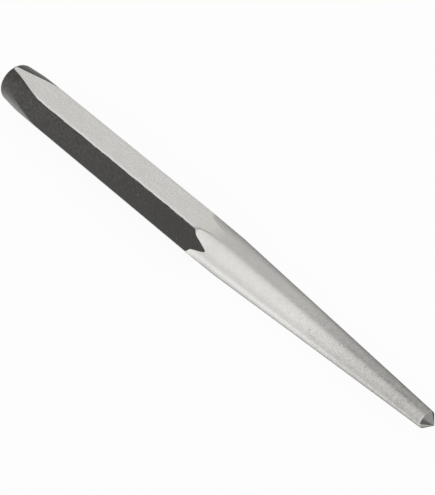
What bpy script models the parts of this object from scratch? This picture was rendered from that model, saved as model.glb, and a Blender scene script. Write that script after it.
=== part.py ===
"""Center punch: one bar of hexagonal tool steel, turned at its head and nose, lying on a flat.

The head points along -X and the point along +X. The flat that was ground bright faces up.
The origin is under the middle of the punch, on the surface that it lies on.
"""

import math

import bmesh
import bpy

MM = 0.001

# Bar
OVERALL_LENGTH = 128.0 * MM
ACROSS_FLATS = 9.525 * MM
EDGE_BREAK = 0.14 * MM

# Top flat, ground bright on a belt that rolled off its head end
TOP_FLAT_GRIND = 0.15 * MM
ROLL_OFF_LENGTH = 8.0 * MM
ROLL_OFF_RADIUS = 78.0 * MM

# Head, turned to a slight cone with a rounded rim and a crowned striking face
HEAD_CONE_LENGTH = 13.85 * MM
HEAD_CONE_ANGLE = math.radians(5.2)
HEAD_RIM_RADIUS = 1.2 * MM
CROWN_RIM_SLOPE = math.radians(10.0)

# Shoulder, where the corners of the bar run out into the turned nose
SHOULDER_CHAMFER_ANGLE = math.radians(30.0)
SHOULDER_CHAMFER_BLEND = 0.8 * MM
SHOULDER_RAMP_ANGLE = math.radians(7.0)
SHOULDER_RAMP_LENGTH = 2.4 * MM
SHOULDER_RAMP_BLEND = 36.0 * MM
NECK_LENGTH = 3.4 * MM
NECK_STEP = 0.0125 * MM

# Nose, a long taper that ends in the conical point
NOSE_LENGTH = 58.0 * MM
NOSE_BLEND = 25.0 * MM
POINT_DIAMETER = 3.85 * MM
POINT_ANGLE = math.radians(90.0)

# Fineness of the faceted surfaces
TURNED_SIDES = 78
CROWN_STEPS = 4
RIM_STEPS = 6
BLEND_STEPS = 4
TAPER_STEPS = 6
ROLL_OFF_STEPS = 9
EDGE_STEPS = 2

# How far the tools' stock stands clear of the bar
CLEARANCE = 1.0 * MM
BAR_SIDES = 6
MERGE_DISTANCE = 0.000001

# Finish
STEEL_COLOUR = (0.075, 0.072, 0.068, 1.0)
STEEL_ROUGHNESS = 0.42
STEEL_METALLIC = 0.85


def flat_distance(side):
    """Distance from the axis to one flat of the bar, counted round from the top flat."""
    distance = ACROSS_FLATS / 2
    return distance - TOP_FLAT_GRIND if side == 0 else distance


def corner_radius():
    """Distance from the axis to an untouched corner of the bar."""
    return ACROSS_FLATS / 2 / math.cos(math.pi / BAR_SIDES)


def bar_section():
    """Corners of the bar's section, each where two neighbouring flats meet."""
    step = 2 * math.pi / BAR_SIDES
    corners = []
    for side in range(BAR_SIDES):
        here = flat_distance(side)
        following = flat_distance((side + 1) % BAR_SIDES)
        along = (following - here * math.cos(step)) / math.sin(step)
        angle = side * step
        across = -here * math.sin(angle) - along * math.cos(angle)
        up = here * math.cos(angle) - along * math.sin(angle)
        corners.append((across, up))
    return corners


def arc(centre, radius, start, end, steps):
    """Points along an arc, both ends included, as (x, r) pairs."""
    points = []
    for step in range(steps + 1):
        angle = start + (end - start) * step / steps
        points.append((centre[0] + radius * math.cos(angle), centre[1] + radius * math.sin(angle)))
    return points


def blended_path(corners):
    """Rounds the inner corners of a path, each given as (x, r, blend radius).

    A blend takes the length radius * tan(turn / 2) of the run on each side of its corner. Where
    the blends at the two ends of a run would meet, both are cut back in proportion.
    """
    spans = list(zip(corners, corners[1:]))
    runs = [math.dist(start[:2], end[:2]) for start, end in spans]
    headings = [math.atan2(end[1] - start[1], end[0] - start[0]) for start, end in spans]
    turns = [0.0] + [after - before for before, after in zip(headings, headings[1:])] + [0.0]
    wanted = [corner[2] * math.tan(abs(turn) / 2) for corner, turn in zip(corners, turns)]
    room = [min(1.0, run / max(sum(pair), run)) for run, pair in zip(runs, zip(wanted, wanted[1:]))]
    points = [corners[0][:2]]
    for index in range(1, len(corners) - 1):
        x, r, _ = corners[index]
        into, out, turn = headings[index - 1], headings[index], turns[index]
        tangent = wanted[index] * min(room[index - 1], room[index])
        if tangent < MERGE_DISTANCE:
            points.append((x, r))
            continue
        radius = tangent / math.tan(abs(turn) / 2)
        side = math.copysign(math.pi / 2, turn)
        start = (x - tangent * math.cos(into), r - tangent * math.sin(into))
        centre = (
            start[0] + radius * math.cos(into + side),
            start[1] + radius * math.sin(into + side),
        )
        points += arc(centre, radius, into - side, out - side, BLEND_STEPS)
    points.append(corners[-1][:2])
    return points


def head_profile():
    """The striking face from its middle outwards, its rounded rim and the cone behind it.

    The crown is an arc centred on the axis and the rim is an arc that touches both the crown
    and the cone, so the crown's radius follows from the slope that it has where they meet.
    """
    slope = math.tan(HEAD_CONE_ANGLE)
    rim_rise = math.sin(CROWN_RIM_SLOPE)
    rim_run = math.cos(CROWN_RIM_SLOPE)
    room = corner_radius() - (HEAD_CONE_LENGTH - HEAD_RIM_RADIUS * rim_run) * slope
    room += HEAD_RIM_RADIUS * (rim_rise - 1 / math.cos(HEAD_CONE_ANGLE))
    crown = room / (rim_rise - (1 - rim_run) * slope)
    rim_start = math.pi - CROWN_RIM_SLOPE
    rim_end = math.pi / 2 + HEAD_CONE_ANGLE
    rim_centre = (
        crown - (crown - HEAD_RIM_RADIUS) * rim_run,
        (crown - HEAD_RIM_RADIUS) * rim_rise,
    )
    points = arc((crown, 0.0), crown, math.pi, rim_start, CROWN_STEPS)[:-1]
    points += arc(rim_centre, HEAD_RIM_RADIUS, rim_start, rim_end, RIM_STEPS)
    points.append((HEAD_CONE_LENGTH + CLEARANCE / slope, corner_radius() + CLEARANCE))
    return points


def nose_profile():
    """The shoulder's chamfer and ramp, the neck, the long taper and the point, in that order."""
    stock = corner_radius() + CLEARANCE
    neck = ACROSS_FLATS / 2 - NECK_STEP
    ring = POINT_DIAMETER / 2
    ring_x = OVERALL_LENGTH - ring / math.tan(POINT_ANGLE / 2)
    taper_x = OVERALL_LENGTH - NOSE_LENGTH
    neck_x = taper_x - NECK_LENGTH
    ramp_x = neck_x - SHOULDER_RAMP_LENGTH
    ramp = neck + SHOULDER_RAMP_LENGTH * math.tan(SHOULDER_RAMP_ANGLE)
    chamfer_x = ramp_x - (stock - ramp) / math.tan(SHOULDER_CHAMFER_ANGLE)
    points = blended_path(
        [
            (chamfer_x, stock, 0.0),
            (ramp_x, ramp, SHOULDER_CHAMFER_BLEND),
            (neck_x, neck, SHOULDER_RAMP_BLEND),
            (taper_x, neck, NOSE_BLEND),
            (ring_x, ring, 0.0),
        ]
    )
    last = points.pop()
    start = points[-1]
    for step in range(1, TAPER_STEPS + 1):
        share = step / TAPER_STEPS
        points.append((start[0] + (last[0] - start[0]) * share, start[1] + (last[1] - start[1]) * share))
    points.append((OVERALL_LENGTH, 0.0))
    return points


def steel():
    """Dark oiled tool steel."""
    material = bpy.data.materials.new("oiled_steel")
    material.use_nodes = True
    shader = material.node_tree.nodes["Principled BSDF"]
    shader.inputs["Base Color"].default_value = STEEL_COLOUR
    shader.inputs["Roughness"].default_value = STEEL_ROUGHNESS
    shader.inputs["Metallic"].default_value = STEEL_METALLIC
    return material


def add_object(name, work):
    """Puts a bmesh into the scene as an object of its own."""
    mesh = bpy.data.meshes.new(name)
    work.to_mesh(mesh)
    work.free()
    item = bpy.data.objects.new(name, mesh)
    bpy.context.scene.collection.objects.link(item)
    return item


def turned_stock():
    """Everything that the lathe leaves: the head, the clear middle and the nose, as one round."""
    profile = head_profile() + nose_profile()
    axis_height = ACROSS_FLATS / 2
    work = bmesh.new()
    verts = [work.verts.new((x - OVERALL_LENGTH / 2, 0.0, axis_height + r)) for x, r in profile]
    edges = [work.edges.new(pair) for pair in zip(verts, verts[1:])]
    bmesh.ops.spin(
        work,
        geom=verts + edges,
        cent=(0.0, 0.0, axis_height),
        axis=(1.0, 0.0, 0.0),
        angle=2 * math.pi,
        steps=TURNED_SIDES,
        use_merge=True,
    )
    bmesh.ops.remove_doubles(work, verts=work.verts[:], dist=MERGE_DISTANCE)
    bmesh.ops.recalc_face_normals(work, faces=work.faces[:])
    stock = add_object("turned_stock", work)
    stock.hide_render = True
    stock.display_type = "WIRE"
    return stock


def extruded(outline, vector):
    """A bmesh prism: a flat outline carried along a vector."""
    work = bmesh.new()
    end = work.faces.new([work.verts.new(point) for point in outline])
    grown = bmesh.ops.extrude_face_region(work, geom=[end])["geom"]
    moved = [item for item in grown if isinstance(item, bmesh.types.BMVert)]
    bmesh.ops.translate(work, verts=moved, vec=vector)
    bmesh.ops.recalc_face_normals(work, faces=work.faces[:])
    return work


def grinding_belt():
    """What the belt takes off the head end of the top flat.

    Its underside is an arc that touches the flat where the roll-off starts. The first chord is
    carried on upwards past that line, so the belt crosses the flat there and never lies on it.
    """
    top = ACROSS_FLATS / 2 + flat_distance(0)
    half_width = corner_radius() + CLEARANCE
    centre = (ROLL_OFF_LENGTH - OVERALL_LENGTH / 2, top - ROLL_OFF_RADIUS)
    sweep = math.asin((ROLL_OFF_LENGTH + CLEARANCE) / ROLL_OFF_RADIUS)
    path = arc(centre, ROLL_OFF_RADIUS, math.pi / 2, math.pi / 2 + sweep, ROLL_OFF_STEPS)
    first, second = path[:2]
    path.insert(0, (2 * first[0] - second[0], 2 * first[1] - second[1]))
    path += [(path[-1][0], top + CLEARANCE), (path[0][0], top + CLEARANCE)]
    outline = [(x, -half_width, z) for x, z in path]
    belt = add_object("grinding_belt", extruded(outline, (0.0, 2 * half_width, 0.0)))
    belt.hide_render = True
    belt.display_type = "WIRE"
    return belt


def hexagonal_bar():
    """The bar as it is cut to length, with its long edges broken."""
    axis_height = ACROSS_FLATS / 2
    half_length = OVERALL_LENGTH / 2 + CLEARANCE
    outline = [(-half_length, y, axis_height + z) for y, z in bar_section()]
    work = extruded(outline, (2 * half_length, 0.0, 0.0))
    long_edges = [
        edge for edge in work.edges if abs(edge.verts[0].co.x - edge.verts[1].co.x) > half_length
    ]
    bmesh.ops.bevel(
        work,
        geom=long_edges,
        offset=EDGE_BREAK,
        offset_type="OFFSET",
        affect="EDGES",
        segments=EDGE_STEPS,
        profile=0.5,
    )
    return add_object("center_punch", work)


def shape_with(item, name, operation, tool):
    """Adds an exact Boolean with a tool to an object."""
    step = item.modifiers.new(name, "BOOLEAN")
    step.operation = operation
    step.solver = "EXACT"
    step.object = tool


def center_punch():
    """The bar, ground on its top flat and kept only where it lies inside the turned stock."""
    punch = hexagonal_bar()
    shape_with(punch, "grinding", "DIFFERENCE", grinding_belt())
    shape_with(punch, "turning", "INTERSECT", turned_stock())
    punch.data.materials.append(steel())
    punch.data.shade_smooth()
    punch.data.set_sharp_from_angle(angle=math.radians(20.0))
    return punch


def clear_scene():
    """Removes the objects that a new file starts with."""
    for item in list(bpy.data.objects):
        bpy.data.objects.remove(item, do_unlink=True)


def main():
    """Builds the punch in an empty scene."""
    clear_scene()
    center_punch()


main()
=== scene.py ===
"""Center punch: its ground, blasted and oiled surfaces, and the plain studio that it lies in."""

import logging
import math
from collections.abc import Callable
from dataclasses import dataclass, field
from enum import Enum

import bpy
import numpy as np
from mathutils import Matrix, Vector


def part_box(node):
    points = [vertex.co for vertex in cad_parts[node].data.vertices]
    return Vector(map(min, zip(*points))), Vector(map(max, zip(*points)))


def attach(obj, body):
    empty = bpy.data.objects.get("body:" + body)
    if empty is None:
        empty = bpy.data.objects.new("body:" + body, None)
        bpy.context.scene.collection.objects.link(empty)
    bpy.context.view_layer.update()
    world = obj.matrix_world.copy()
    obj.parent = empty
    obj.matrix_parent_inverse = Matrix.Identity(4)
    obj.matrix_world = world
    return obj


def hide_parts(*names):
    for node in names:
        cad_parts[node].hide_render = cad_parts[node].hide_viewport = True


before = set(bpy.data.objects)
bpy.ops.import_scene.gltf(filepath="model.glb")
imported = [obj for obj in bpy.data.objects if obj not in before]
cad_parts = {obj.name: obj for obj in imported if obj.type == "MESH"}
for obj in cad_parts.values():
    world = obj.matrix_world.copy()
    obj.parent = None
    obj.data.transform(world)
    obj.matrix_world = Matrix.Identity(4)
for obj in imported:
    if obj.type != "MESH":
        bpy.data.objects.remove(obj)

Socket = bpy.types.NodeSocket
Range = tuple[float, float]
Spot = tuple[float, float]
Triple = tuple[float, float, float]
Edges = tuple[float, float, float, float]
Colour = tuple[float, float, float, float]

MM = 0.001
FAR = 1.0
FULL_TURN = 2.0 * math.pi
SHARP_ANGLE = math.radians(25.0)
HALVINGS = 48
SHARE: Range = (0.0, 1.0)
NOISE_MIDDLE: Range = (0.3, 0.7)
NODE = "center_punch"
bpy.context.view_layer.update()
CAD_LOW, CAD_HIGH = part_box(NODE)
ACROSS_FLATS = 9.525 * MM
AXIS_HEIGHT = CAD_LOW.z + ACROSS_FLATS / 2.0

log = logging.getLogger("punch")


class Stretch(Enum):
    """The stretches of the punch's surface, numbered from the head to the point."""

    HEAD = 0
    BAR = 1
    NOSE = 2
    POINT = 3


class Zone(Enum):
    """The differently finished areas of the punch, numbered as its material slots are."""

    BLACK = 0
    BRIGHT = 1
    BLASTED = 2
    POINT = 3
    TURNED = 4


class Carried(Enum):
    """The distances that the mesh carries at each of its points, for the finishes to read."""

    ARCH = "arch_distance"
    CORNER = "corner_distance"


class Pull(Enum):
    """Where the rows of a stretch of surface crowd together."""

    EVEN = "even"
    START = "start"
    END = "end"
    BOTH = "both"


def spread(rows: int, pull: Pull) -> np.ndarray:
    """Shares from 0 to 1, their square law crowding them towards an end.

    Args:
        rows: How many shares there are.
        pull: Which end or ends they crowd towards.

    Returns:
        The shares in rising order.
    """
    even = np.linspace(0.0, 1.0, rows)
    if pull is Pull.START:
        return even**2
    if pull is Pull.END:
        return 1.0 - (1.0 - even) ** 2
    if pull is Pull.BOTH:
        return np.where(even < 0.5, 2.0 * even**2, 1.0 - 2.0 * (1.0 - even) ** 2)
    return even


def between(start: np.ndarray, end: np.ndarray, rows: int, pull: Pull) -> np.ndarray:
    """Rows of x a rising share of the way from one curve round the punch to another."""
    return start + (end - start) * spread(rows, pull)[1:, None]


def soft_minimum(first: np.ndarray, second: np.ndarray, width: float | np.ndarray) -> np.ndarray:
    """The smaller of two values, with the crease between them rounded off.

    Where they differ by less than the width, a parabola joins them that lies a quarter of the
    width under the crease.

    Args:
        first: One value.
        second: The other value.
        width: The difference under which they blend.

    Returns:
        The blended minimum.
    """
    overlap = np.clip(width - np.abs(first - second), 0.0, None) / width
    return np.minimum(first, second) - overlap**2 * width / 4.0


def crossing(gap: Callable[[np.ndarray], np.ndarray], low: np.ndarray, high: np.ndarray) -> np.ndarray:
    """Where a function of x changes from negative to positive, by halving whole arrays at once.

    Args:
        gap: The function, which takes an array of x and gives an array.
        low: Values of x where it is negative.
        high: Values of x where it is positive.

    Returns:
        The values of x in between where it is zero.
    """
    for _ in range(HALVINGS):
        middle = (low + high) / 2.0
        below = gap(middle) < 0.0
        low = np.where(below, middle, low)
        high = np.where(below, high, middle)
    return (low + high) / 2.0


def arc(centre: Spot, radius: float, start: float, end: float, steps: int) -> np.ndarray:
    """Points of an arc: its centre plus the radius times the cosine and sine of the angle.

    Args:
        centre: The arc's centre, as (x, r).
        radius: The arc's radius.
        start: The angle of its first point.
        end: The angle of its last point.
        steps: How many chords it has.

    Returns:
        An array of (x, r) rows.
    """
    angle = np.linspace(start, end, steps + 1)
    return np.stack([centre[0] + radius * np.cos(angle), centre[1] + radius * np.sin(angle)], axis=1)


def from_top(angle: np.ndarray) -> np.ndarray:
    """How far each direction is turned away from straight up, to either side."""
    return np.abs((angle + math.pi) % FULL_TURN - math.pi)


def mesh_from_arrays(
    name: str, points: np.ndarray, quads: np.ndarray, fans: list[np.ndarray]
) -> bpy.types.Object:
    """Puts whole arrays of points and faces into a new object, shaded smooth.

    Args:
        name: The object's name.
        points: Rows of x, y and z.
        quads: Rows of four point numbers.
        fans: Arrays with rows of three point numbers.

    Returns:
        The object.
    """
    triangles = np.concatenate(fans) if fans else np.zeros((0, 3), int)
    corners = np.concatenate([quads.ravel(), triangles.ravel()]).astype(np.int32)
    sizes = np.concatenate([np.full(len(quads), 4), np.full(len(triangles), 3)])
    starts = np.concatenate([[0], np.cumsum(sizes)[:-1]]).astype(np.int32)
    mesh = bpy.data.meshes.new(name)
    mesh.vertices.add(len(points))
    mesh.vertices.foreach_set("co", points.astype(np.float32).ravel())
    mesh.loops.add(len(corners))
    mesh.loops.foreach_set("vertex_index", corners)
    mesh.polygons.add(len(sizes))
    mesh.polygons.foreach_set("loop_start", starts)
    mesh.update(calc_edges=True)
    mesh.shade_smooth()
    mesh.set_sharp_from_angle(angle=SHARP_ANGLE)
    made = bpy.data.objects.new(name, mesh)
    bpy.context.scene.collection.objects.link(made)
    return made


@dataclass(frozen=True)
class HexagonalBar:
    """The bar that the punch is cut from, with its top flat ground.

    The ground flat lies the grind under the bar's own, and the belt rolled off it near the head.
    The long corners are rounded over the edge blend.
    """

    across_flats: float = ACROSS_FLATS
    edge_blend: float = 0.06 * MM
    grind: float = 0.15 * MM
    roll_off: float = 8.0 * MM
    roll_radius: float = 78.0 * MM
    sides: int = 6
    least_facing: float = 0.3

    @property
    def corner(self) -> float:
        """Distance from the axis to a sharp corner between two flats."""
        return self.across_flats / 2.0 / math.cos(math.pi / self.sides)

    @property
    def top_corner(self) -> float:
        """Angle, from straight up, of the corners at the sides of the ground flat.

        Returns:
            The angle, whose tangent is the corner's distance aside over its height.
        """
        half = self.across_flats / 2.0
        step = FULL_TURN / self.sides
        low = half - self.grind
        return math.atan2((half - low * math.cos(step)) / math.sin(step), low)

    def reach(self, x: np.ndarray, angle: np.ndarray) -> np.ndarray:
        """Distance from the axis to the bar's surface.

        A flat at distance d reaches d / cos(angle from its normal), and the bar is the soft
        minimum of the nearest two. Towards the head the ground flat sinks by a parabola,
        (roll_off - x)^2 / (2 roll_radius), where the belt rolled off the end.

        Args:
            x: Distance from the striking face.
            angle: Direction round the axis, from straight up.

        Returns:
            The distance for each pair of x and angle.
        """
        x, angle = np.broadcast_arrays(x, angle)
        normals = np.arange(self.sides) * FULL_TURN / self.sides
        facing = np.cos(angle[..., None] - normals)
        distance = np.full(facing.shape, self.across_flats / 2.0)
        sunk = np.clip(self.roll_off - x, 0.0, None) ** 2 / (2.0 * self.roll_radius)
        distance[..., 0] -= self.grind + sunk
        reached = distance / np.maximum(facing, self.least_facing)
        reached = np.where(facing > self.least_facing, reached, FAR)
        nearest = np.partition(reached, 1, axis=-1)
        return soft_minimum(nearest[..., 0], nearest[..., 1], self.edge_blend)


@dataclass(frozen=True)
class TurnedHead:
    """The crowned striking face, its rounded rim and the cone behind it.

    Up to the shared end, on the rim, every column of the surface has the same rows.
    """

    bar: HexagonalBar
    cone_length: float = 13.85 * MM
    cone_angle: float = math.radians(5.2)
    rim_radius: float = 1.2 * MM
    crown_slope: float = math.radians(10.0)
    crown_rows: int = 9
    rim_rows: int = 13
    shared_end: float = 0.85 * MM

    @property
    def crown_radius(self) -> float:
        """Radius of the crown whose arc touches a rim arc that touches the cone.

        Returns:
            The height that the rim leaves under the cone, over the crown's rise per unit of radius.
        """
        slope = math.tan(self.cone_angle)
        rise, run = math.sin(self.crown_slope), math.cos(self.crown_slope)
        room = self.bar.corner - (self.cone_length - self.rim_radius * run) * slope
        room += self.rim_radius * (rise - 1.0 / math.cos(self.cone_angle))
        return room / (rise - (1.0 - run) * slope)

    @property
    def rim_centre(self) -> Spot:
        """Centre of the rim's arc, as (x, r)."""
        inner = self.crown_radius - self.rim_radius
        return self.crown_radius - inner * math.cos(self.crown_slope), inner * math.sin(self.crown_slope)

    def face(self) -> np.ndarray:
        """The crown and the first part of the rim, which every column of the surface shares.

        Returns:
            An array of (x, r) rows from the middle of the face outwards.
        """
        start = math.pi - self.crown_slope
        end = math.acos((self.shared_end - self.rim_centre[0]) / self.rim_radius)
        crown = arc((self.crown_radius, 0.0), self.crown_radius, math.pi, start, self.crown_rows)
        rim = arc(self.rim_centre, self.rim_radius, start, end, self.rim_rows)
        return np.concatenate([crown[:-1], rim])

    def radius(self, x: np.ndarray) -> np.ndarray:
        """Radius of the rim's arc and, past the place where they touch, of the cone.

        The arc stands over its centre's height by the root of its radius squared less the distance
        from its centre squared. The cone falls from the bar's corner by its slope.

        Args:
            x: Distance from the striking face.

        Returns:
            The turned radius there.
        """
        centre, height = self.rim_centre
        touch = centre - self.rim_radius * math.sin(self.cone_angle)
        inside = np.clip(self.rim_radius**2 - (x - centre) ** 2, 0.0, None)
        cone = self.bar.corner - (self.cone_length - x) * math.tan(self.cone_angle)
        return np.where(x < touch, height + np.sqrt(inside), cone)


@dataclass(frozen=True)
class TurnedNose:
    """The shoulder, the neck, the long taper and the conical point.

    The shoulder is a chamfer and a shallow ramp, and the neck lies a small step under the flats.
    The blends are the radii of the arcs between them.
    """

    bar: HexagonalBar
    length: float = CAD_HIGH.x - CAD_LOW.x
    nose_length: float = 58.0 * MM
    nose_blend: float = 25.0 * MM
    neck_length: float = 3.4 * MM
    neck_step: float = 0.0125 * MM
    ramp_length: float = 2.4 * MM
    ramp_angle: float = math.radians(7.0)
    ramp_blend: float = 36.0 * MM
    chamfer_angle: float = math.radians(30.0)
    chamfer_blend: float = 0.8 * MM
    point_diameter: float = 3.85 * MM
    point_angle: float = math.radians(90.0)
    clearance: float = 1.0 * MM
    blend_steps: int = 16

    @property
    def ring(self) -> float:
        """Distance from the striking face to the ring where the point begins."""
        return self.length - self.point_diameter / 2.0 / math.tan(self.point_angle / 2.0)

    def outline(self) -> np.ndarray:
        """The turned outline from the shoulder to the ring, each corner an arc that touches both runs.

        The arc starts its radius times the tangent of half the turn before the corner.

        Returns:
            An array of (x, r) rows with rising x.
        """
        neck = self.bar.across_flats / 2.0 - self.neck_step
        neck_end = self.length - self.nose_length
        neck_start = neck_end - self.neck_length
        ramp_start = neck_start - self.ramp_length
        ramp = neck + self.ramp_length * math.tan(self.ramp_angle)
        stock = self.bar.corner + self.clearance
        corners = np.array(
            [
                (ramp_start - (stock - ramp) / math.tan(self.chamfer_angle), stock),
                (ramp_start, ramp),
                (neck_start, neck),
                (neck_end, neck),
                (self.ring, self.point_diameter / 2.0),
            ]
        )
        heading = np.arctan2(np.diff(corners[:, 1]), np.diff(corners[:, 0]))
        rows = [corners[:1]]
        for index, radius in enumerate((self.chamfer_blend, self.ramp_blend, self.nose_blend)):
            into, out = heading[index], heading[index + 1]
            tangent = radius * math.tan(abs(out - into) / 2.0)
            side = math.copysign(math.pi / 2.0, out - into)
            start = corners[index + 1] - tangent * np.array([math.cos(into), math.sin(into)])
            centre = start + radius * np.array([math.cos(into + side), math.sin(into + side)])
            rows.append(arc(tuple(centre), radius, into - side, out - side, self.blend_steps))
        rows.append(corners[-1:])
        return np.concatenate(rows)

    def radius(self, x: np.ndarray) -> np.ndarray:
        """Radius of the turned outline at any x, read between its points."""
        outline = self.outline()
        return np.interp(x, outline[:, 0], outline[:, 1])


@dataclass(frozen=True)
class Pattern:
    """Cloudy noise: its clouds to the metre, its octaves, its stretch and what each octave keeps."""

    scale: float
    detail: float = 3.0
    stretch: Triple = (1.0, 1.0, 1.0)
    roughness: float = 0.55


@dataclass(frozen=True)
class Nodes:
    """Short ways to add and join the nodes of one material."""

    tree: bpy.types.NodeTree

    def add(self, kind: str, inputs: dict | None = None, **settings: object) -> bpy.types.Node:
        """Adds a node.

        Args:
            kind: The node's type.
            inputs: Values or sockets for its inputs, by name or number.
            **settings: Values for its own properties.

        Returns:
            The node.
        """
        node = self.tree.nodes.new(kind)
        for name, value in settings.items():
            setattr(node, name, value)
        for name, value in (inputs or {}).items():
            self.feed(value, node.inputs[name])
        return node

    def feed(self, value: object, socket: Socket) -> None:
        """Links a socket, or sets a plain value, to an input.

        Args:
            value: The socket or the value.
            socket: The input that takes it.
        """
        if isinstance(value, Socket):
            self.tree.links.new(value, socket)
        else:
            socket.default_value = value

    def attribute(self, carried: Carried) -> Socket:
        """A distance that the mesh carries at each of its points."""
        return self.add("ShaderNodeAttribute", attribute_name=carried.value).outputs["Fac"]

    def axes(self) -> tuple[Socket, ...]:
        """Object coordinates as x, y and z."""
        coordinates = self.add("ShaderNodeTexCoord").outputs["Object"]
        return tuple(self.add("ShaderNodeSeparateXYZ", {"Vector": coordinates}).outputs)

    def turn(self) -> Socket:
        """The direction round the punch's axis, in radians from straight up to either side.

        Returns:
            The arc tangent of the distance aside over the height above the axis, with no sign.
        """
        _, across, up = self.axes()
        up = self.compute("SUBTRACT", up, AXIS_HEIGHT)
        return self.compute("ABSOLUTE", self.compute("ARCTAN2", across, up))

    def noise(self, pattern: Pattern) -> Socket:
        """Cloudy noise between 0 and 1, read at the object coordinates times the pattern's stretch.

        Args:
            pattern: Its scale, octaves and stretch.

        Returns:
            The noise.
        """
        coordinates = self.add("ShaderNodeTexCoord").outputs["Object"]
        placed = self.add("ShaderNodeMapping", {"Vector": coordinates, "Scale": pattern.stretch})
        inputs = {
            "Vector": placed.outputs["Vector"],
            "Scale": pattern.scale,
            "Detail": pattern.detail,
            "Roughness": pattern.roughness,
        }
        return self.add("ShaderNodeTexNoise", inputs).outputs["Fac"]

    def reshape(self, value: Socket, source: Range, target: Range = SHARE) -> Socket:
        """Carries one range of a value over to another, and holds it at the ends.

        Args:
            value: The value.
            source: The range that it is read in.
            target: The range that it is carried over to.

        Returns:
            The new value.
        """
        ends = dict(zip(("From Min", "From Max", "To Min", "To Max"), source + target))
        return self.add("ShaderNodeMapRange", {"Value": value, **ends}).outputs["Result"]

    def level(self, share: Socket, levels: Range) -> Socket:
        """A level that goes from one value to another as a share goes from 0 to 1."""
        return self.reshape(share, SHARE, levels)

    def band(self, value: Socket, edges: Edges) -> Socket:
        """A share that rises from 0 to 1 between the first two edges and falls between the last two."""
        rise = self.reshape(value, edges[:2])
        return self.product(rise, self.reshape(value, edges[2:], (1.0, 0.0)))

    def along(self, stretch: Range) -> Socket:
        """A share that rises from 0 to 1 between two distances from the striking face."""
        return self.reshape(self.axes()[0], (CAD_LOW.x + stretch[0], CAD_LOW.x + stretch[1]))

    def near(self, carried: Carried, width: float) -> Socket:
        """A share that falls from 1 at a corner or an arch to 0 at a width from it."""
        return self.reshape(self.attribute(carried), (0.0, width), (1.0, 0.0))

    def compute(self, operation: str, *values: float | Socket) -> Socket:
        """One step of arithmetic."""
        return self.add("ShaderNodeMath", dict(enumerate(values)), operation=operation).outputs["Value"]

    def product(self, first: Socket, *others: float | Socket) -> Socket:
        """Several values multiplied together.

        Args:
            first: The first value.
            *others: The values that it is multiplied by.

        Returns:
            The product.
        """
        for other in others:
            first = self.compute("MULTIPLY", first, other)
        return first

    def scaled(self, colour: Socket, level: Socket) -> Socket:
        """A colour times a level."""
        node = self.add("ShaderNodeVectorMath", {0: colour, 1: level}, operation="MULTIPLY")
        return node.outputs["Vector"]

    def blend(self, share: Socket, first: Colour | Socket, second: Colour | Socket) -> Socket:
        """Mixes two colours.

        Args:
            share: How much of the second there is.
            first: The colour where the share is 0.
            second: The colour where the share is 1.

        Returns:
            The mixed colour.
        """
        node = self.add("ShaderNodeMix", data_type="RGBA")
        for name, value in (("Factor_Float", share), ("A_Color", first), ("B_Color", second)):
            self.feed(value, next(item for item in node.inputs if item.identifier == name))
        return next(item for item in node.outputs if item.identifier == "Result_Color")


def grey(level: float, warmth: float = 0.0) -> Colour:
    """A grey with some of its blue taken away."""
    return (level * (1.0 + warmth / 2.0), level, level * (1.0 - warmth), 1.0)


@dataclass(frozen=True)
class Finish:
    """What every finish has: a name, a shader, a relief and a way to draw its pattern.

    In the finishes a range is the part of a noise in which its share rises, a line is a width
    from an edge, and a level is what the colour is multiplied by.
    """

    name: str
    metallic: float
    roughness: float
    roughness_spread: Range = (0.0, 0.0)
    specular: float = 0.5
    tint: Colour = grey(1.0)
    relief_depth: float = 0.0
    relief_strength: float = 0.0

    def material(self) -> bpy.types.Material:
        """Makes the material and lets the finish draw on it.

        Returns:
            The material.
        """
        made = bpy.data.materials.new(self.name)
        made.use_nodes = True
        shader = made.node_tree.nodes["Principled BSDF"]
        shader.inputs["Metallic"].default_value = self.metallic
        shader.inputs["Roughness"].default_value = self.roughness
        shader.inputs["Specular IOR Level"].default_value = self.specular
        shader.inputs["Specular Tint"].default_value = self.tint
        self.draw(Nodes(made.node_tree), shader)
        return made

    def draw(self, nodes: Nodes, shader: bpy.types.Node) -> None:
        """Links the finish's pattern to its shader."""
        raise NotImplementedError

    def vary(self, nodes: Nodes, shader: bpy.types.Node, pattern: Socket) -> None:
        """Lets a pattern vary the roughness."""
        spread_to = (self.roughness + self.roughness_spread[0], self.roughness + self.roughness_spread[1])
        nodes.feed(nodes.reshape(pattern, NOISE_MIDDLE, spread_to), shader.inputs["Roughness"])

    def lift(self, nodes: Nodes, shader: bpy.types.Node, pattern: Socket) -> None:
        """Lets a pattern raise the surface by the finish's relief."""
        inputs = {"Height": pattern, "Distance": self.relief_depth, "Strength": self.relief_strength}
        nodes.feed(nodes.add("ShaderNodeBump", inputs).outputs["Normal"], shader.inputs["Normal"])


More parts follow.
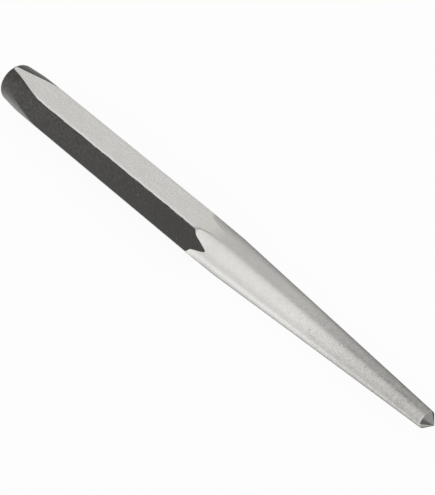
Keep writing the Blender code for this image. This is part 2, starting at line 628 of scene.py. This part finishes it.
@dataclass(frozen=True)
class OiledBlack(Finish):
    """Blackened flats: cloudy, faintly drawn along the bar, darker by the edges, with a few nicks, and
    with painted shade on their low side.
    """

    name: str = "oiled_black_steel"
    metallic: float = 0.0
    roughness: float = 0.38
    roughness_spread: Range = (-0.07, 0.08)
    specular: float = 0.66
    tint: Colour = (1.0, 0.972, 0.925, 1.0)
    relief_depth: float = 0.004 * MM
    relief_strength: float = 0.5
    dark: Colour = grey(0.0, 0.05)
    pale: Colour = grey(0.046, 0.05)
    clouds: Pattern = Pattern(1500.0, 4.0)
    drawn: Pattern = Pattern(4600.0, stretch=(0.5, 1.0, 1.0))
    pale_range: Range = (0.86, 1.28)
    edge_line: float = 0.35 * MM
    edge_levels: Range = (0.35, 1.0)
    fading: Range = (10.0 * MM, 60.0 * MM)
    fading_levels: Range = (1.2, 0.4)
    # Painted shade: past the start of the bar, the low side is darkened to this colour.
    low: Colour = grey(0.012, 0.05)
    low_shade_and_sheen_angles: Edges = (1.25, 1.65, 2.2, 2.9)
    low_shade_and_sheen_from: Range = (1.2 * MM, 3.5 * MM)
    bare: Colour = grey(0.30, 0.03)
    nicks: Pattern = Pattern(2100.0, 1.0)
    nick_range: Range = (0.775, 0.80)
    worn: Pattern = Pattern(1100.0)
    worn_range: Range = (0.78, 0.84)
    worn_line: float = 0.20 * MM
    worn_height: float = 0.5 * MM
    worn_rise: Range = (0.10, 0.30)

    def draw(self, nodes: Nodes, shader: bpy.types.Node) -> None:
        """Links the clouds, the drawn lines, the painted shade of the low side (a painted sheen on the
        head) and the bare spots to the shader.

        Args:
            nodes: The material's nodes.
            shader: The shader.
        """
        drawn, clouds = nodes.noise(self.drawn), nodes.noise(self.clouds)
        share = nodes.reshape(nodes.compute("ADD", drawn, clouds), self.pale_range)
        colour = nodes.blend(share, self.dark, self.pale)
        edge = nodes.reshape(nodes.attribute(Carried.CORNER), (0.0, self.edge_line), self.edge_levels)
        colour = nodes.scaled(colour, edge)
        colour = nodes.scaled(colour, nodes.level(nodes.along(self.fading), self.fading_levels))
        # Painted shade darkens the low side of the flats; on the head the same band is a painted sheen.
        low = nodes.product(nodes.band(nodes.turn(), self.low_shade_and_sheen_angles), nodes.along(self.low_shade_and_sheen_from))
        colour = nodes.blend(low, colour, self.low)
        colour = nodes.blend(self.bare_share(nodes), colour, self.bare)
        nodes.feed(colour, shader.inputs["Base Color"])
        self.vary(nodes, shader, clouds)
        self.lift(nodes, shader, drawn)

    def bare_share(self, nodes: Nodes) -> Socket:
        """Where the blacking is gone: in small nicks, and in longer ones by the upper edges.

        Args:
            nodes: The material's nodes.

        Returns:
            A share that is 1 on bare steel.
        """
        nicks = nodes.reshape(nodes.noise(self.nicks), self.nick_range)
        high = nodes.reshape(nodes.axes()[2], (CAD_HIGH.z - self.worn_height, CAD_HIGH.z), self.worn_rise)
        by_edge = nodes.product(nodes.near(Carried.CORNER, self.worn_line), high)
        worn = nodes.reshape(nodes.compute("ADD", nodes.noise(self.worn), by_edge), self.worn_range)
        return nodes.compute("MAXIMUM", nicks, worn)


@dataclass(frozen=True)
class TurnedBlack(OiledBlack):
    """The blackened head: glossier than the flats, with the fine rings that turning left, and a painted
    sheen on its low side in place of the flats' painted shade.
    """

    name: str = "turned_black_steel"
    roughness: float = 0.34
    specular: float = 0.84
    tint: Colour = (1.0, 0.955, 0.905, 1.0)
    drawn: Pattern = Pattern(5200.0, stretch=(1.0, 0.4, 0.4))
    edge_line: float = 0.01 * MM
    # Painted sheen: the low side of the head is lightened to this colour.
    low: Colour = (0.115, 0.12, 0.11, 1.0)
    low_shade_and_sheen_angles: Edges = (1.22, 1.55, 1.70, 2.05)
    worn_line: float = 0.01 * MM


@dataclass(frozen=True)
class BlastedNose(Finish):
    """Blasted steel: its grain and its sparse pits grow towards the point, where it is a little darker.

    Its specular tint is the share that it keeps of what it mirrors at a grazing angle.
    """

    name: str = "blasted_steel"
    metallic: float = 1.0
    roughness: float = 0.38
    roughness_spread: Range = (-0.06, 0.08)
    tint: Colour = grey(0.27)
    relief_depth: float = 0.02 * MM
    relief_strength: float = 0.6
    low: Colour = grey(0.53, 0.035)
    high: Colour = grey(0.77, 0.035)
    grain: Pattern = Pattern(3300.0, 5.0)
    clouds: Pattern = Pattern(800.0)
    cloud_part: float = 0.25
    grain_range: Range = (0.45, 0.80)
    fine: float = 0.42
    coarser: Range = (82.0 * MM, 108.0 * MM)
    pits: Pattern = Pattern(3800.0, 2.0, (0.6, 1.0, 1.0))
    pit_range: Range = (0.60, 0.68)
    pit_level: float = 0.70
    pitted: Range = (74.0 * MM, 106.0 * MM)
    darker: Range = (92.0 * MM, 108.0 * MM)
    darker_level: float = 0.80
    tip: Range = (108.0 * MM, 122.0 * MM)
    tip_level: float = 0.89
    # Painted sheen: a lighter band low down on both sides of the taper.
    low_sheen_level: float = 1.36
    low_sheen_angles: Edges = (1.24, 1.48, 1.78, 2.05)
    marks: Pattern = Pattern(2600.0, 4.0, (1.0, 0.15, 0.15))
    mark_spread: Range = (-0.10, 0.10)
    marked: Range = (104.0 * MM, 122.0 * MM)
    ring: float = TurnedNose(HexagonalBar()).ring
    # Painted highlight: a lighter band just before the ring where the point begins.
    ring_highlight_start: float = 0.25 * MM
    ring_highlight_full: float = 0.1 * MM
    ring_highlight_level: float = 1.25

    def colour(self, nodes: Nodes) -> Socket:
        """The colour: a grain between two greys, times the levels of all that changes it.

        Args:
            nodes: The material's nodes.

        Returns:
            The colour.
        """
        clouds, grain = nodes.noise(self.clouds), nodes.noise(self.grain)
        swing = nodes.compute("MULTIPLY_ADD", clouds, self.cloud_part, grain)
        swing = nodes.reshape(swing, self.grain_range, (-0.5, 0.5))
        strength = nodes.level(nodes.along(self.coarser), (self.fine, 1.0))
        share = nodes.compute("MULTIPLY_ADD", swing, strength, 0.5)
        pits = nodes.reshape(nodes.noise(self.pits), self.pit_range)
        pits = nodes.product(pits, nodes.along(self.pitted))
        marks = nodes.reshape(nodes.noise(self.marks), NOISE_MIDDLE, self.mark_spread)
        # Painted highlight just before the ring.
        ring_highlight = nodes.along((self.ring - self.ring_highlight_start, self.ring - self.ring_highlight_full))
        level = nodes.product(
            nodes.level(nodes.along(self.darker), (1.0, self.darker_level)),
            nodes.level(nodes.along(self.tip), (1.0, self.tip_level)),
            # painted sheen low down on the taper's sides
            nodes.level(nodes.band(nodes.turn(), self.low_sheen_angles), (1.0, self.low_sheen_level)),
            nodes.level(pits, (1.0, self.pit_level)),
            nodes.level(ring_highlight, (1.0, self.ring_highlight_level)),
            nodes.compute("MULTIPLY_ADD", marks, nodes.along(self.marked), 1.0),
        )
        return nodes.scaled(nodes.blend(share, self.low, self.high), level)

    def draw(self, nodes: Nodes, shader: bpy.types.Node) -> None:
        """Links the colour and the grain to the shader.

        Args:
            nodes: The material's nodes.
            shader: The shader.
        """
        nodes.feed(self.colour(nodes), shader.inputs["Base Color"])
        grain = nodes.noise(self.grain)
        self.vary(nodes, shader, grain)
        self.lift(nodes, shader, grain)


@dataclass(frozen=True)
class GroundBright(Finish):
    """The flat ground bright on a belt: fine lines along the bar on a satin face.

    Past the shoulder the blasting has taken the lines away, softly, and left a straw-coloured haze.
    """

    name: str = "ground_bright_steel"
    metallic: float = 1.0
    roughness: float = 0.34
    roughness_spread: Range = (-0.04, 0.05)
    relief_depth: float = 0.003 * MM
    relief_strength: float = 0.4
    low: Colour = grey(0.71, 0.035)
    high: Colour = grey(0.88, 0.035)
    lines: Pattern = Pattern(5200.0, 4.0, (0.05, 1.0, 1.0))
    specks: Pattern = Pattern(3000.0, 4.0)
    line_part: float = 0.5
    satin_range: Range = (0.62, 0.88)
    near_side: Range = (-0.5 * MM, 0.0)
    uneven: Pattern = Pattern(260.0, 3.0, (1.0, 0.0, 0.0))
    uneven_range: Range = (0.35, 0.75)
    creep: float = 0.16 * MM
    creep_more: Range = (20.0 * MM, 55.0 * MM)
    creep_part: float = 0.5
    # Painted highlight on the near edge and painted shade on the far edge, full within the first width
    # and gone at the second.
    edge_full: float = 0.12 * MM
    edge_line: float = 0.55 * MM
    near_highlight_level: float = 1.22
    far_shade_level: float = 0.93
    blacking: Colour = grey(0.06, 0.05)
    blacking_line: float = 0.05 * MM
    # Painted highlight along the arches at the head, ending between these distances.
    rim_highlight_line: float = 0.9 * MM
    rim_highlight_level: float = 1.17
    rim_highlight_end: Range = (20.0 * MM, 21.0 * MM)
    straw: Colour = (0.80, 0.775, 0.70, 1.0)
    haze: float = 0.8
    hazy: Range = (60.0 * MM, 66.0 * MM)
    past: Range = (65.5 * MM, 69.5 * MM)
    blasted: BlastedNose = field(default_factory=BlastedNose)
    shade_line: float = 1.6 * MM
    shade_level: float = 0.62
    shade_rise: Range = (60.0 * MM, 63.0 * MM)
    shade_fall: Range = (70.0 * MM, 67.5 * MM)

    def draw(self, nodes: Nodes, shader: bpy.types.Node) -> None:
        """Links the satin, the painted highlight and shade of its edges, and its end at the shoulder to
        the shader.

        Args:
            nodes: The material's nodes.
            shader: The shader.
        """
        lines = nodes.noise(self.lines)
        share = nodes.compute("MULTIPLY_ADD", lines, self.line_part, nodes.noise(self.specks))
        colour = nodes.blend(nodes.reshape(share, self.satin_range), self.low, self.high)
        colour = self.shoulder(nodes, self.edges(nodes, colour))
        nodes.feed(colour, shader.inputs["Base Color"])
        self.vary(nodes, shader, lines)
        self.lift(nodes, shader, lines)

    def edges(self, nodes: Nodes, colour: Socket) -> Socket:
        """Paints a highlight on the near edge and on the rim of the head, and paints shade on the far
        edge.

        On the near side the blacking creeps in, by a slow noise along the bar times its width.

        Args:
            nodes: The material's nodes.
            colour: The satin's colour.

        Returns:
            The colour with its edges.
        """
        creep = nodes.reshape(nodes.noise(self.uneven), self.uneven_range)
        creep = nodes.compute("MULTIPLY_ADD", nodes.along(self.creep_more), self.creep_part, creep)
        near_side = nodes.reshape(nodes.axes()[1], self.near_side, (1.0, 0.0))
        creep = nodes.product(creep, nodes.product(near_side, self.creep))
        inside = nodes.compute("SUBTRACT", nodes.attribute(Carried.CORNER), creep)
        by_edge = nodes.reshape(inside, (self.edge_full, self.edge_line), (1.0, 0.0))
        # Painted highlight on the near edge, painted shade on the far edge.
        near_highlight = nodes.product(by_edge, near_side)
        far_shade = nodes.compute("SUBTRACT", by_edge, near_highlight)
        # Painted highlight along the arches at the head.
        rise = nodes.level(nodes.along(self.rim_highlight_end), (self.rim_highlight_level - 1.0, 0.0))
        rim = nodes.compute("MULTIPLY_ADD", nodes.near(Carried.ARCH, self.rim_highlight_line), rise, 1.0)
        light = nodes.compute("MAXIMUM", nodes.level(near_highlight, (1.0, self.near_highlight_level)), rim)
        colour = nodes.scaled(colour, light)
        colour = nodes.scaled(colour, nodes.level(far_shade, (1.0, self.far_shade_level)))
        clean = nodes.reshape(inside, (-self.blacking_line, 0.0))
        return nodes.blend(clean, self.blacking, colour)

    def shoulder(self, nodes: Nodes, colour: Socket) -> Socket:
        """Turns the satin into the haze and then into blasted steel, shaded along the arch.

        Args:
            nodes: The material's nodes.
            colour: The satin's colour with its edges.

        Returns:
            The whole flat's colour.
        """
        colour = nodes.blend(nodes.product(nodes.along(self.hazy), self.haze), colour, self.straw)
        colour = nodes.blend(nodes.along(self.past), colour, self.blasted.colour(nodes))
        shade = nodes.product(nodes.near(Carried.ARCH, self.shade_line), nodes.along(self.shade_rise))
        shade = nodes.product(shade, nodes.along(self.shade_fall))
        return nodes.scaled(colour, nodes.level(shade, (1.0, self.shade_level)))


@dataclass(frozen=True)
class GroundPoint(Finish):
    """The point, ground on a wheel: lines round the cone, with painted shade low down on its sides."""

    name: str = "ground_point_steel"
    metallic: float = 1.0
    roughness: float = 0.32
    tint: Colour = grey(0.25)
    relief_depth: float = 0.004 * MM
    relief_strength: float = 0.5
    low: Colour = grey(0.40, 0.035)
    high: Colour = grey(0.58, 0.035)
    rings: Pattern = Pattern(5000.0, stretch=(1.0, 0.25, 0.25))
    # Painted shade: the sides are much darker low down, and the strip under them a little darker.
    side_shade_level: float = 0.25
    side_shade_angles: Edges = (0.50, 0.95, 1.38, 1.50)
    strip_shade_level: float = 0.84
    strip_shade_angles: Edges = (1.50, 1.62, 2.2, 2.9)

    def draw(self, nodes: Nodes, shader: bpy.types.Node) -> None:
        """Links the rings, the painted shade low on the sides and the lighter painted shade of the strip
        under it to the shader.

        Args:
            nodes: The material's nodes.
            shader: The shader.
        """
        rings = nodes.noise(self.rings)
        colour = nodes.blend(rings, self.low, self.high)
        # Painted shade on the low sides and, lighter, in the strip under them.
        for angles, level in ((self.side_shade_angles, self.side_shade_level), (self.strip_shade_angles, self.strip_shade_level)):
            colour = nodes.scaled(colour, nodes.level(nodes.band(nodes.turn(), angles), (1.0, level)))
        nodes.feed(colour, shader.inputs["Base Color"])
        self.lift(nodes, shader, rings)


@dataclass
class Punch:
    """The whole punch: one closed surface with five finishes.

    The arches lie between the searches, and from the shared taper on every column has the same
    rows again. The corner spread is where the columns beside a corner lie, in degrees from it.
    """

    bar: HexagonalBar = field(default_factory=HexagonalBar)
    head: TurnedHead = field(init=False)
    nose: TurnedNose = field(init=False)
    arch_blend: float = 0.05 * MM
    ground_arch_blend: float = 0.10 * MM
    ground_margin: float = math.radians(6.0)
    ring_blend: float = 0.12 * MM
    ring_margin: float = 0.18 * MM
    arch_search: float = 16.0 * MM
    nose_search: float = 60.0 * MM
    shared_taper: float = 74.0 * MM
    flat_columns: int = 24
    corner_spread: tuple[float, ...] = (0.0, 0.2, 0.4, 0.6, 1.2)
    head_rows: int = 36
    flat_rows: int = 60
    shoulder_rows: int = 46
    taper_rows: int = 30
    ring_rows: int = 5
    point_rows: int = 10

    def __post_init__(self) -> None:
        """Turns the head and the nose for this bar."""
        self.head = TurnedHead(self.bar)
        self.nose = TurnedNose(self.bar)

    def corner_angles(self) -> np.ndarray:
        """The angles of the six corners, rising from the one after straight up.

        Returns:
            The angles, with those beside the ground flat moved to its own corners.
        """
        angles = (np.arange(self.bar.sides) + 0.5) * FULL_TURN / self.bar.sides
        angles[0] = self.bar.top_corner
        angles[-1] = FULL_TURN - self.bar.top_corner
        return angles

    def columns(self) -> np.ndarray:
        """Directions round the axis: evenly spread over each flat, and crowded at each corner.

        Returns:
            The directions in rising order.
        """
        corners = self.corner_angles()
        offsets = np.radians(self.corner_spread)
        crowd = np.concatenate([-offsets[:0:-1], offsets])
        starts = corners + offsets[-1]
        ends = np.roll(corners, -1) - offsets[-1]
        ends[-1] += FULL_TURN
        shares = np.linspace(0.0, 1.0, self.flat_columns + 1)[1:-1]
        flats = starts[:, None] + (ends - starts)[:, None] * shares
        return np.sort(np.concatenate([(corners[:, None] + crowd).ravel(), flats.ravel()]))

    def arches(self, angle: np.ndarray) -> tuple[np.ndarray, np.ndarray]:
        """Where each column crosses from the turned head to the bar, and on to the turned nose.

        Args:
            angle: The columns' directions.

        Returns:
            The two distances from the striking face.
        """
        none = np.zeros_like(angle)
        first = crossing(
            lambda x: self.head.radius(x) - self.bar.reach(x, angle),
            none + self.head.shared_end,
            none + self.arch_search,
        )
        second = crossing(
            lambda x: self.bar.reach(x, angle) - self.nose.radius(x),
            none + self.nose_search,
            none + self.shared_taper,
        )
        return first, second

    def shank(self, angle: np.ndarray) -> list[tuple[Stretch, np.ndarray, np.ndarray]]:
        """The stretches where the turned surfaces meet the bar, from the rim to the taper.

        Each is the soft minimum of the turned radius and the bar's reach. The arch at the
        shoulder is rounder on the ground flat than beside it.

        Args:
            angle: The columns' directions.

        Returns:
            Each stretch with its rows of x and of radius.
        """
        none = np.zeros_like(angle)
        first, second = self.arches(angle)
        on_ground = np.clip((self.bar.top_corner - from_top(angle)) / self.ground_margin, 0.0, 1.0)
        blend = self.arch_blend + on_ground * (self.ground_arch_blend - self.arch_blend)
        head_x = between(none + self.head.shared_end, first, self.head_rows, Pull.END)
        flat_x = between(first, second, self.flat_rows, Pull.BOTH)
        shoulder_x = between(second, none + self.shared_taper, self.shoulder_rows, Pull.START)
        past = flat_x > self.arch_search
        meetings = [
            (Stretch.HEAD, head_x, self.head.radius(head_x), self.arch_blend),
            (
                Stretch.BAR,
                flat_x,
                np.where(past, self.nose.radius(flat_x), self.head.radius(flat_x)),
                np.where(past, blend, self.arch_blend),
            ),
            (Stretch.NOSE, shoulder_x, self.nose.radius(shoulder_x), blend),
        ]
        return [
            (stretch, x, soft_minimum(turned, self.bar.reach(x, angle), width))
            for stretch, x, turned, width in meetings
        ]

    def tip(self, angle: np.ndarray) -> list[tuple[Stretch, np.ndarray, np.ndarray]]:
        """The stretches from the taper to the point, which are round.

        The ring is the soft minimum of the taper and the cone, whose radius is the distance to
        its end times the tangent of half its angle.

        Args:
            angle: The columns' directions.

        Returns:
            Each stretch with its rows of x and of radius.
        """
        none = np.zeros_like(angle)
        start, end = self.nose.ring - self.ring_margin, self.nose.ring + self.ring_margin
        taper_x = between(none + self.shared_taper, none + start, self.taper_rows, Pull.EVEN)
        into_x = between(none + start, none + self.nose.ring, self.ring_rows, Pull.EVEN)
        out_x = between(none + self.nose.ring, none + end, self.ring_rows, Pull.EVEN)
        cone_x = between(none + end, none + self.nose.length, self.point_rows, Pull.EVEN)
        stretches = [(Stretch.NOSE, taper_x, self.nose.radius(taper_x))]
        for stretch, x in ((Stretch.NOSE, into_x), (Stretch.POINT, out_x), (Stretch.POINT, cone_x)):
            cone = (self.nose.length - x) * math.tan(self.nose.point_angle / 2.0)
            radius = soft_minimum(self.nose.radius(x), cone, self.ring_blend)
            stretches.append((stretch, x, np.maximum(radius, 0.0)))
        return stretches

    def surface(self, angle: np.ndarray) -> tuple[np.ndarray, np.ndarray, np.ndarray]:
        """The punch as radius over (row, column).

        A column runs from the striking face along the turned head to the arch where the head
        meets its flat, straight along the bar to the arch at the shoulder, and along the turned
        nose. The two arches are where the turned radius equals the bar's reach.

        Args:
            angle: The columns' directions.

        Returns:
            The rows' x, the rows' radius, and the number of the rows' stretch.
        """
        none = np.zeros_like(angle)
        face = self.head.face()
        stretches = [(Stretch.HEAD, face[:, :1] + none, face[:, 1:] + none)]
        stretches += self.shank(angle) + self.tip(angle)
        x = np.concatenate([rows for _, rows, _ in stretches])
        r = np.concatenate([radii for _, _, radii in stretches])
        numbers = [np.full(len(rows), stretch.value) for stretch, rows, _ in stretches]
        return x, r, np.concatenate(numbers)

    def zones(self, stretch: np.ndarray, angle: np.ndarray) -> np.ndarray:
        """The finish of each face, from the stretch and the flat that it is on.

        Args:
            stretch: The number of each row's stretch.
            angle: The direction of each column of faces.

        Returns:
            The zones' numbers over (row, column).
        """
        on_bar = np.where(from_top(angle) < self.bar.top_corner, Zone.BRIGHT.value, Zone.BLACK.value)
        chosen = {
            Stretch.HEAD: Zone.TURNED.value,
            Stretch.BAR: on_bar,
            Stretch.NOSE: Zone.BLASTED.value,
            Stretch.POINT: Zone.POINT.value,
        }
        return np.stack([np.broadcast_to(chosen[item], angle.shape) for item in Stretch])[stretch]

    def build(self) -> bpy.types.Object:
        """Makes the closed mesh: a grid of quads, with a fan of triangles at each pole.

        A point lies at x along the bar, the radius times the angle's sine across it and the
        radius times its cosine above the axis.

        Returns:
            The punch, in place.
        """
        angle = self.columns()
        x, r, stretch = self.surface(angle)
        rows, count = x.shape
        ring = slice(1, rows - 1)
        face_x = (CAD_LOW.x + CAD_HIGH.x) / 2.0 - self.nose.length / 2.0
        points = np.stack(
            [x[ring] + face_x, r[ring] * np.sin(angle), r[ring] * np.cos(angle) + AXIS_HEIGHT], axis=-1
        ).reshape(-1, 3)
        poles = np.array([[face_x, 0.0, AXIS_HEIGHT], [face_x + self.nose.length, 0.0, AXIS_HEIGHT]])
        index = np.arange((rows - 2) * count).reshape(rows - 2, count)
        onward = np.roll(index, -1, axis=1)
        quads = np.stack([index[:-1], index[1:], onward[1:], onward[:-1]], axis=-1).reshape(-1, 4)
        first, last = len(points), len(points) + 1
        head_fan = np.stack([np.full(count, first), index[0], onward[0]], axis=-1)
        point_fan = np.stack([index[-1], np.full(count, last), onward[-1]], axis=-1)
        made = mesh_from_arrays("punch", np.concatenate([points, poles]), quads, [head_fan, point_fan])
        zone = self.zones(stretch, angle + ((np.roll(angle, -1) - angle) % FULL_TURN) / 2.0)
        materials = np.concatenate([zone[2:-1].ravel(), zone[1], zone[-1]])
        made.data.polygons.foreach_set("material_index", materials.astype(np.int32))
        for carried, distance in self.distances(x, r, angle).items():
            values = np.concatenate([distance[ring].ravel(), [FAR, FAR]]).astype(np.float32)
            made.data.attributes.new(carried.value, "FLOAT", "POINT").data.foreach_set("value", values)
        return made

    def distances(self, x: np.ndarray, r: np.ndarray, angle: np.ndarray) -> dict[Carried, np.ndarray]:
        """How far each point lies from the nearest arch and from the nearest corner.

        The first is measured along the bar. The second is the radius times the angle between.

        Args:
            x: The points' distance from the striking face.
            r: The points' radius.
            angle: The columns' directions.

        Returns:
            Both distances over (row, column).
        """
        arch = np.minimum(*(np.abs(x - place) for place in self.arches(angle)))
        turned_by = np.abs(angle[:, None] - self.corner_angles())
        turned_by = np.minimum(turned_by, FULL_TURN - turned_by).min(axis=1)
        return {Carried.ARCH: arch, Carried.CORNER: r * turned_by}

    def dress(self, punch: bpy.types.Object) -> None:
        """Gives the punch its finishes, in the order of the zones.

        Args:
            punch: The built punch.
        """
        finishes = {
            Zone.BLACK: OiledBlack(),
            Zone.BRIGHT: GroundBright(),
            Zone.BLASTED: BlastedNose(),
            Zone.POINT: GroundPoint(),
            Zone.TURNED: TurnedBlack(),
        }
        for zone in Zone:
            punch.data.materials.append(finishes[zone].material())


@dataclass(frozen=True)
class Lamp:
    """One soft square lamp that looks at the middle of the punch."""

    name: str
    direction: Triple
    distance: float
    width: float
    radiance: float

    def build(self) -> None:
        """Hangs the lamp, whose power is its radiance times its area times pi."""
        light = bpy.data.lights.new(self.name, "AREA")
        light.size = self.width
        light.energy = self.radiance * self.width**2 * math.pi
        towards = Vector(self.direction).normalized()
        made = bpy.data.objects.new(self.name, light)
        made.location = towards * self.distance
        made.rotation_euler = towards.to_track_quat("Z", "Y").to_euler()
        bpy.context.scene.collection.objects.link(made)


@dataclass(frozen=True)
class Camera:
    """The camera, solved from the photograph's outlines."""

    target: Triple = (3.02 * MM, -0.09 * MM, 4.89 * MM)
    distance: float = 434.03 * MM
    azimuth: float = math.radians(49.501)
    elevation: float = math.radians(46.574)
    roll: float = math.radians(-0.925)
    lens: float = 157.72
    sensor: float = 36.0

    def build(self) -> None:
        """Places the camera and makes it the scene's."""
        level = math.cos(self.elevation)
        back = Vector(
            (math.sin(self.azimuth) * level, -math.cos(self.azimuth) * level, math.sin(self.elevation))
        )
        turn = back.to_track_quat("Z", "Y").to_matrix() @ Matrix.Rotation(self.roll, 3, "Z")
        data = bpy.data.cameras.new("camera")
        data.lens = self.lens
        data.sensor_width = self.sensor
        made = bpy.data.objects.new("camera", data)
        made.matrix_world = Matrix.Translation(Vector(self.target) + back * self.distance) @ turn.to_4x4()
        bpy.context.scene.collection.objects.link(made)
        bpy.context.scene.camera = made


@dataclass(frozen=True)
class Studio:
    """A pale floor, an even sky and soft lamps.

    The punch mirrors plain white from the floor before it, and mostly the floor itself from
    behind it. The fade is where one becomes the other.
    """

    floor_half: float = 3.0
    floor_gap: float = 0.01 * MM
    floor_colour: Colour = grey(0.94)
    floor_roughness: float = 0.9
    floor_specular: float = 0.1
    shown_white: float = 0.94
    mirrored_white: float = 1.0
    mirrored_behind: float = 0.1
    fade: Range = (-3.0 * MM, 3.0 * MM)
    sky: float = 0.52
    lamps: tuple[Lamp, ...] = (
        Lamp("front_lamp", (-0.15, -0.72, 0.68), 1.3, 2.2, 0.66),
        Lamp("back_lamp", (-0.48, 0.66, 0.58), 1.3, 1.5, 0.20),
    )

    def build(self) -> None:
        """Sets up the floor, the sky, the lamps and the camera."""
        self.build_floor()
        self.build_sky()
        for lamp in self.lamps:
            lamp.build()
        Camera().build()
        bpy.context.scene.view_settings.view_transform = "Standard"

    def build_floor(self) -> None:
        """Lays the floor just under the punch."""
        half = self.floor_half
        corners = np.array([(-half, -half), (half, -half), (half, half), (-half, half)])
        points = np.column_stack([corners, np.full(4, CAD_LOW.z - self.floor_gap)])
        floor = mesh_from_arrays("floor", points, np.array([[0, 1, 2, 3]]), [])
        floor.data.materials.append(self.floor_material())

    def floor_material(self) -> bpy.types.Material:
        """A matt floor, mixed with plain white where the camera or a mirroring surface sees it.

        The mix is less than whole, so the punch's shadow stays on it.

        Returns:
            The material.
        """
        material = bpy.data.materials.new("pale_floor")
        material.use_nodes = True
        nodes = Nodes(material.node_tree)
        shader = material.node_tree.nodes["Principled BSDF"]
        shader.inputs["Base Color"].default_value = self.floor_colour
        shader.inputs["Roughness"].default_value = self.floor_roughness
        shader.inputs["Specular IOR Level"].default_value = self.floor_specular
        path = nodes.add("ShaderNodeLightPath").outputs
        seen = nodes.product(path["Is Camera Ray"], self.shown_white)
        before = nodes.reshape(nodes.axes()[1], self.fade, (self.mirrored_white, self.mirrored_behind))
        mirrored = nodes.compute("ADD", path["Is Glossy Ray"], path["Is Transmission Ray"])
        share = nodes.compute("ADD", seen, nodes.product(mirrored, before))
        white = nodes.add("ShaderNodeEmission", {"Color": grey(1.0), "Strength": 1.0}).outputs[0]
        mixed = nodes.add("ShaderNodeMixShader", {0: share, 1: shader.outputs[0], 2: white}).outputs[0]
        nodes.feed(mixed, material.node_tree.nodes["Material Output"].inputs["Surface"])
        return material

    def build_sky(self) -> None:
        """Lights everything evenly from all round."""
        world = bpy.data.worlds.new("even_sky")
        world.use_nodes = True
        background = world.node_tree.nodes["Background"]
        background.inputs["Color"].default_value = grey(1.0)
        background.inputs["Strength"].default_value = self.sky
        bpy.context.scene.world = world


def main() -> None:
    """Builds the punch and its studio, and reports each piece."""
    logging.basicConfig(level=logging.INFO, format="%(message)s")
    maker = Punch()
    punch = maker.build()
    maker.dress(punch)
    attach(punch, "root")
    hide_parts(NODE)
    log.info("punch: %d faces", len(punch.data.polygons))
    Studio().build()
    log.info("studio: floor, sky, lamps and camera")


if __name__ == "__main__":
    main()
